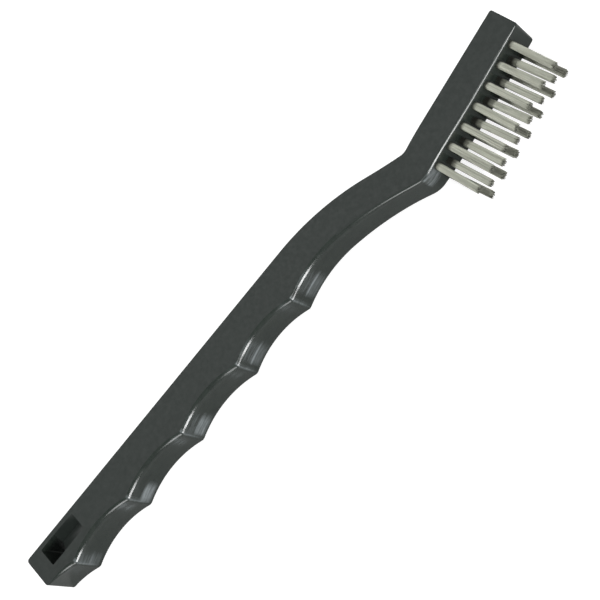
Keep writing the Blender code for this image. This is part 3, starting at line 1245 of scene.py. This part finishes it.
    def dress(self, body: Piece) -> None:
        """Mark where the walls get painted reflections and highlights, and give the handle
        its three skins.

        Args:
            body: The finished handle.
        """
        sheen_marks = [self.sheen_at((v.co - self.origin) / MM) for v in body.data.vertices]
        for name in sheen_marks[0]:
            mark_points(body, name, [kinds[name] for kinds in sheen_marks])
        give_skins(body, *(s.material() for s in (SIDE_SKIN, WALL_SKIN, SHADED_TROUGH_SKIN)))
        for face in body.data.polygons:
            face.material_index = self.skin_of(face)

    def build(self, tuft_holes: Piece) -> None:
        """Model the handle and report it.

        Args:
            tuft_holes: Cutter with the blind holes and the anchors' notches.
        """
        body = self.trace_side()
        carve(body, self.trace_width(), "INTERSECT")
        self.round_edges(body)
        carve(body, tuft_holes)
        carve(body, self.hang_hole_tool())
        for side in Side:
            carve(body, self.trough_tool(side))
        select_only(body)
        bpy.ops.object.shade_smooth_by_angle(angle=math.radians(self.smooth_angle))
        self.dress(body)
        modifier = body.modifiers.new("even shading", "WEIGHTED_NORMAL")
        modifier.keep_sharp = True
        modifier.weight = 100
        apply_modifier(body, "even shading")
        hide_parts("handle")
        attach(body, "root")
        log.info("handle: %d faces", len(body.data.polygons))


# The tufts


@dataclass(frozen=True)
class TuftPlace:
    """Row, number and placement of one tuft."""

    row: Row
    number: int
    matrix: Matrix

    def name(self, what: str) -> str:
        """Name of a piece at this place, such as tuft_near_1."""
        return f"{what}_{self.row.value}_{self.number}"


@dataclass
class TuftSet:
    """All wire tufts: fine wires that stand out of bundles folded in their holes.

    Wire cuts are the shares of a wire's length at which it is divided. Beyond the cut end
    it has the dark tone of the cut. Leans are in degrees, towards the head end.
    """

    handle: Handle
    outer_count: int = 7
    middle_count: int = 6
    pitch: float = 5.66
    middle_shift: float = 3.05
    row_spacing: float = 3.65
    end_to_first: float = 4.9
    hole_radius: float = 1.0
    hole_depth: float = 5.0
    hole_sides: int = 28
    tool_top: float = 2.0
    clearance: float = 0.05
    bundle_top: float = -0.25
    bundle_tone: float = 0.8
    fold_thickness: float = 0.5
    fold_rounding: float = 0.4
    anchor_thickness: float = 0.35
    anchor_height: float = 1.5
    anchor_bite: float = 0.3
    anchor_clearance: float = 0.03
    wire_length: float = 13.85
    wire_radius: float = 0.087
    wire_sides: int = 6
    wire_pitch: float = 0.171
    wire_rings: int = 5
    ring_roundness: float = 0.55
    wire_root: float = 1.2
    wire_cuts: tuple[float, ...] = (0.14, 0.2, 0.26, 0.5, 0.75)
    cut_end: float = 0.965
    cut_margin: float = 0.01
    cut_rounding: float = 0.02
    spread: float = 1.07
    shorter: float = 0.36
    longer: float = 0.252
    stray: float = 0.09
    side_lean: float = 0.8
    smooth_angle: float = 65.0
    pattern_seeds: tuple[int, ...] = (3, 8, 21, 34)
    turn_seed: int = 11
    leans: dict[Row, tuple[float, ...]] = field(
        default_factory=lambda: {
            Row.NEAR: (0.8, 1.8, 1.3, 0.3, 0.8, 0.3, -0.4),
            Row.MIDDLE: (2.9, 2.7, 3.4, 3.2, 1.3, 1.0),
            Row.FAR: (2.3, 2.0, 1.6, 2.1, 2.7, 1.9, 2.8),
        }
    )
    # How far the painted shade of the head's edge reaches along each row's wires, in
    # millimetres
    row_root_shade: dict[Row, float] = field(
        default_factory=lambda: {Row.NEAR: 1.1, Row.MIDDLE: 2.3, Row.FAR: 2.3}
    )
    root_shade_fade: Ramp = Ramp(-0.35, 0.7)

    def places(self) -> list[TuftPlace]:
        """Places of all tufts, numbered from the head end of each row."""
        along = self.handle.along_face()
        ahead = Vector((along.x, along.y, 0.0))
        outward = Vector((along.y, -along.x, 0.0))
        foot = self.handle.head_foot
        rows = (
            (Row.NEAR, self.outer_count, 0.0, self.row_spacing),
            (Row.MIDDLE, self.middle_count, self.middle_shift, 0.0),
            (Row.FAR, self.outer_count, 0.0, -self.row_spacing),
        )
        found = []
        for row, count, offset, height in rows:
            for number in range(count):
                back = self.end_to_first + offset + self.pitch * number
                spot = Vector((foot.x, foot.y, self.handle.end_width / 2 + height))
                matrix = Matrix.Identity(4)
                matrix.col[0].xyz = ahead
                matrix.col[1].xyz = (0.0, 0.0, 1.0)
                matrix.col[2].xyz = outward
                matrix.col[3].xyz = self.handle.origin + (spot - ahead * back) * MM
                found.append(TuftPlace(row, number + 1, matrix))
        return found

    def anchor_foot(self) -> float:
        """Depth of an anchor's lower edge below the bristle face."""
        return -self.hole_depth + self.clearance + self.fold_thickness

    def slot_tool(self, reach: float) -> Piece:
        """Block of the room that an anchor takes.

        Args:
            reach: How far it goes to each side of the hole's middle.

        Returns:
            The block, at a tuft's own place.
        """
        size = (
            2 * reach,
            self.anchor_thickness + 2 * self.anchor_clearance,
            self.anchor_height + 2 * self.anchor_clearance,
        )
        middle = Vector((0.0, 0.0, self.anchor_foot() + self.anchor_height / 2))
        return add_block("anchor_slot_tool", middle * MM, Vector(size))

    def hole_tools(self) -> Piece:
        """Cutter for all blind holes, each with the notches that its anchor bites."""
        foot = -self.hole_depth
        hole = add_rod(
            "tuft_hole_tool", self.hole_radius, foot, self.tool_top, self.hole_sides
        )
        reach = self.hole_radius + self.anchor_bite + self.anchor_clearance
        carve(hole, self.slot_tool(reach), "UNION")
        copies = [
            copy_with_mesh(hole, place.name("hole"), place.matrix)
            for place in self.places()
        ]
        bpy.data.objects.remove(hole)
        return join_pieces(copies, "tuft_holes_tool")

    def make_bundle(self) -> Piece:
        """The round bundle in a hole, with the fold at its foot and room for the anchor."""
        foot = -self.hole_depth + self.clearance
        radius = self.hole_radius - self.clearance
        bundle = add_rod("wire_bundle", radius, foot, self.bundle_top, self.hole_sides)
        limit = (foot + NEAR_END) * MM
        bevel_edges(
            bundle,
            lambda edge: all(v.co.z < limit for v in edge.verts),
            self.fold_rounding,
            SMALL_STRIPS,
        )
        carve(bundle, self.slot_tool(self.hole_radius * 2))
        mark_points(bundle, "tone", [self.bundle_tone] * len(bundle.data.vertices))
        return bundle

    def make_wire(self) -> Piece:
        """One straight wire with its root at zero and a cut end."""
        length = self.wire_length + self.wire_root
        wire = add_rod("wire", self.wire_radius, 0.0, length, self.wire_sides)
        tip = (length - NEAR_END) * MM
        bevel_edges(
            wire, lambda edge: all(v.co.z > tip for v in edge.verts), self.cut_rounding, 1
        )
        bpy.ops.object.mode_set(mode="EDIT")
        for share in (*self.wire_cuts, self.cut_end):
            bpy.ops.mesh.select_all(action="SELECT")
            bpy.ops.mesh.bisect(
                plane_co=(0.0, 0.0, length * share * MM), plane_no=(0.0, 0.0, 1.0)
            )
        bpy.ops.object.mode_set(mode="OBJECT")
        return wire

    def wire_spots(self) -> Iterable[Vector]:
        """Middles of the wires at the root: one, then rings of six, twelve and so on."""
        corners = [Vector((1.0, 0.0)) for _ in range(7)]
        for side, corner in enumerate(corners):
            corner.rotate(Matrix.Rotation(math.radians(60 * side), 2))
        yield Vector((0.0, 0.0))
        for ring in range(1, self.wire_rings + 1):
            for index in range(6 * ring):
                side, step = divmod(index, ring)
                ahead = corners[side + 1] - corners[side]
                spot = corners[side] * ring + ahead * step
                straight = spot * (1 - self.ring_roundness)
                rounded = spot.normalized() * ring * self.ring_roundness
                yield (straight + rounded) * self.wire_pitch

    def make_tuft(self, wire: Piece, seed: int) -> Piece:
        """One tuft at its own place, with wires that spread and end unevenly.

        Args:
            wire: The straight wire.
            seed: Chooses how the wires stray.

        Returns:
            The tuft without its bundle.
        """
        chance = random.Random(seed)
        whole = self.wire_length + self.wire_root
        cut_height = (self.cut_end + self.cut_margin) * whole * MM
        wires = []
        for number, spot in enumerate(self.wire_spots()):
            reach = self.wire_length + chance.uniform(-self.shorter, self.longer)
            scale = (reach + self.wire_root) / whole
            root = Vector((spot.x, spot.y, -self.wire_root))
            stray = Vector((chance.gauss(0, self.stray), chance.gauss(0, self.stray)))
            tip = spot * self.spread + stray
            end = Vector((tip.x, tip.y, reach))
            turn = (end - root).to_track_quat("Z", "X").to_matrix().to_4x4()
            stretch = Matrix.Scale(scale, 4, (0, 0, 1))
            place = Matrix.Translation(root * MM) @ turn @ stretch
            piece = copy_with_mesh(wire, f"wire_{seed}_{number}", place)
            tone = chance.random()
            back = place.inverted()
            tones = [
                tone + (1.0 if (back @ vertex.co).z > cut_height else 0.0)
                for vertex in piece.data.vertices
            ]
            mark_points(piece, "tone", tones)
            wires.append(piece)
        return join_pieces(wires, f"tuft_pattern_{seed}")

    def root_shade(self, tuft: Piece, place: TuftPlace) -> None:
        """Mark the painted shade on the wires, which is darkest at their roots.

        Args:
            tuft: The finished tuft.
            place: Its place, whose row says how far the painted shade reaches.
        """
        back = place.matrix.inverted()
        reach = self.row_root_shade[place.row]
        levels = [
            1.0 - self.root_shade_fade.at((back @ vertex.co).z / MM - reach)
            for vertex in tuft.data.vertices
        ]
        mark_points(tuft, "root_shade", levels)

    def build(self) -> None:
        """Model all tufts from a few patterns, each turned its own way, and report them."""
        wire = self.make_wire()
        bundle = self.make_bundle()
        patterns = [self.make_tuft(wire, seed) for seed in self.pattern_seeds]
        skin = WIRE_SKIN.material()
        chance = random.Random(self.turn_seed)
        for index, place in enumerate(self.places()):
            pattern = patterns[index % len(patterns)]
            turn = Matrix.Rotation(math.radians(60 * chance.randrange(6)), 4, "Z")
            sideways = chance.uniform(-self.side_lean, self.side_lean)
            lean = Matrix.Rotation(math.radians(sideways), 4, "X")
            headward = self.leans[place.row][place.number - 1]
            tilt = Matrix.Rotation(math.radians(headward), 4, "Y")
            wires = copy_with_mesh(pattern, "wires", place.matrix @ lean @ tilt @ turn)
            core = copy_with_mesh(bundle, "core", place.matrix)
            tuft = join_pieces([wires, core], place.name("wires"))
            give_skins(tuft, skin)
            self.root_shade(tuft, place)
            bpy.ops.object.shade_smooth_by_angle(angle=math.radians(self.smooth_angle))
            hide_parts(place.name("tuft"))
            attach(tuft, "root")
            log.info("%s: %d faces", tuft.name, len(tuft.data.polygons))
        for spare in (wire, bundle, *patterns):
            bpy.data.objects.remove(spare)


@dataclass
class AnchorSet:
    """The anchors, whose solids are right as they are and only get their finish."""

    nodes: dict[str, Piece]

    def dress(self) -> None:
        """Give every anchor its metal."""
        skin = ANCHOR_SKIN.material()
        anchors = [obj for name, obj in self.nodes.items() if name.startswith("anchor_")]
        for anchor in anchors:
            give_skins(anchor, skin)
        log.info("dressed %d anchors", len(anchors))


# The room, the light and the camera


@dataclass(frozen=True)
class Lamp:
    """One soft rectangular lamp that points at the brush."""

    name: str
    place: Triple
    size: Span
    power: float

    def light(self, target: Vector) -> None:
        """Add the lamp and point it.

        Args:
            target: What the lamp points at.
        """
        begin_piece()
        bpy.ops.object.light_add(type="AREA", location=self.place)
        lamp = bpy.context.active_object
        lamp.name = self.name
        lamp.data.shape = "RECTANGLE"
        lamp.data.size, lamp.data.size_y = self.size
        lamp.data.energy = self.power
        aim = target - Vector(self.place)
        lamp.rotation_euler = aim.to_track_quat("-Z", "Y").to_euler()


@dataclass
class Studio:
    """White floor, soft light and the camera at the photograph's viewing angle.

    The fill lamp lifts the far wires, which stand in the shadow of the near ones.
    """

    origin: Vector
    camera_place: Vector = point_field(167.784, -211.226, 373.375)
    camera_right: Vector = point_field(0.624868, -0.630048, -0.461065)
    camera_up: Vector = point_field(0.763717, 0.615893, 0.193424)
    lens: float = 101.4
    sensor: float = 36.0
    nearest: float = 0.01
    floor_size: float = 8.0
    floor_gap: float = 0.02
    floor_glow: float = 0.86
    mirrored_glow: float = 0.05
    floor_colour: Triple = (0.32, 0.32, 0.32)
    room_light: float = 0.15
    lit_place: Vector = point_field(92.0, -10.0, 6.0)
    lamps: tuple[Lamp, ...] = (
        Lamp("key_lamp", (-0.11, 0.62, 0.97), (0.14, 0.14), 9.1),
        Lamp("edge_lamp", (0.275, -2.34, 0.855), (0.48, 1.70), 34.0),
        Lamp("head_lamp", (0.345, -0.95, 0.34), (0.13, 0.40), 1.9),
        Lamp("fill_lamp", (0.30, -0.35, 0.95), (0.30, 0.30), 2.4),
        Lamp("tail_lamp", (-1.62, -1.70, 0.69), (0.75, 1.20), 12.0),
    )

    def add_camera(self) -> None:
        """Add the camera and make it the scene's own."""
        begin_piece()
        bpy.ops.object.camera_add()
        camera = bpy.context.active_object
        camera.name = "photo_camera"
        right = self.camera_right.normalized()
        back = right.cross(self.camera_up).normalized()
        turn = Matrix((right, back.cross(right), back)).transposed().to_4x4()
        place = Matrix.Translation(self.origin + self.camera_place * MM)
        camera.matrix_world = place @ turn
        camera.data.lens = self.lens
        camera.data.sensor_width = self.sensor
        camera.data.clip_start = self.nearest
        bpy.context.scene.camera = camera

    def glow_strength(self, desk: NodeDesk) -> Socket:
        """Glow of the floor for the camera, and the lesser one for reflections and glass.

        Args:
            desk: The desk of the floor's material.

        Returns:
            The socket of the glow's strength.
        """
        path = desk.add("ShaderNodeLightPath")
        total: Socket | None = None
        for name, glow in (
            ("Is Camera Ray", self.floor_glow),
            ("Is Glossy Ray", self.mirrored_glow),
            ("Is Transmission Ray", self.mirrored_glow),
        ):
            share = desk.add("ShaderNodeMath", operation="MULTIPLY_ADD")
            desk.link(path.outputs[name], share.inputs[0])
            share.inputs[1].default_value = glow
            share.inputs[2].default_value = 0.0
            if total is not None:
                desk.link(total, share.inputs[2])
            total = share.outputs[0]
        return total

    def floor_material(self) -> bpy.types.Material:
        """Pale floor that glows white where it is seen and keeps the brush's shadow."""
        desk = NodeDesk("pale_floor")
        desk.tree.nodes.clear()
        plain = desk.add("ShaderNodeBsdfDiffuse", Color=(*self.floor_colour, 1.0))
        glow = desk.add("ShaderNodeEmission")
        desk.link(self.glow_strength(desk), glow.inputs["Strength"])
        both = desk.add("ShaderNodeAddShader")
        desk.link(plain.outputs[0], both.inputs[0])
        desk.link(glow.outputs[0], both.inputs[1])
        out = desk.add("ShaderNodeOutputMaterial")
        desk.link(both.outputs[0], out.inputs["Surface"])
        return desk.material

    def add_floor(self) -> None:
        """Add the floor just under the brush."""
        begin_piece()
        place = (0.0, 0.0, -self.floor_gap * MM)
        bpy.ops.mesh.primitive_plane_add(size=self.floor_size, location=place)
        floor = name_piece("floor")
        settle(floor)
        give_skins(floor, self.floor_material())

    def add_world(self) -> None:
        """Even room light, and white where the camera looks past the floor."""
        world = bpy.data.worlds.new("soft_room")
        bpy.context.scene.world = world
        world.use_nodes = True
        tree = world.node_tree
        room = tree.nodes["Background"]
        room.inputs["Color"].default_value = (1.0, 1.0, 1.0, 1.0)
        mix = tree.nodes.new("ShaderNodeMapRange")
        mix.inputs["To Min"].default_value = self.room_light
        mix.inputs["To Max"].default_value = 1.0
        path = tree.nodes.new("ShaderNodeLightPath")
        tree.links.new(path.outputs["Is Camera Ray"], mix.inputs["Value"])
        tree.links.new(mix.outputs["Result"], room.inputs["Strength"])

    def build(self) -> None:
        """Add camera, floor, world and lamps."""
        bpy.context.scene.view_settings.view_transform = "Standard"
        self.add_camera()
        self.add_floor()
        self.add_world()
        for lamp in self.lamps:
            lamp.light(self.origin + self.lit_place * MM)
        log.info("studio with %d lamps", len(self.lamps))


def main() -> None:
    """Load the frame, then build the studio, the handle, the tufts and the anchors."""
    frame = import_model()
    low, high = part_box("handle")
    origin = Vector((low.x, high.y, low.z))
    Studio(origin).build()
    handle = Handle(origin)
    tufts = TuftSet(handle)
    handle.build(tufts.hole_tools())
    tufts.build()
    AnchorSet(frame["nodes"]).dress()


if __name__ == "__main__":
    main()
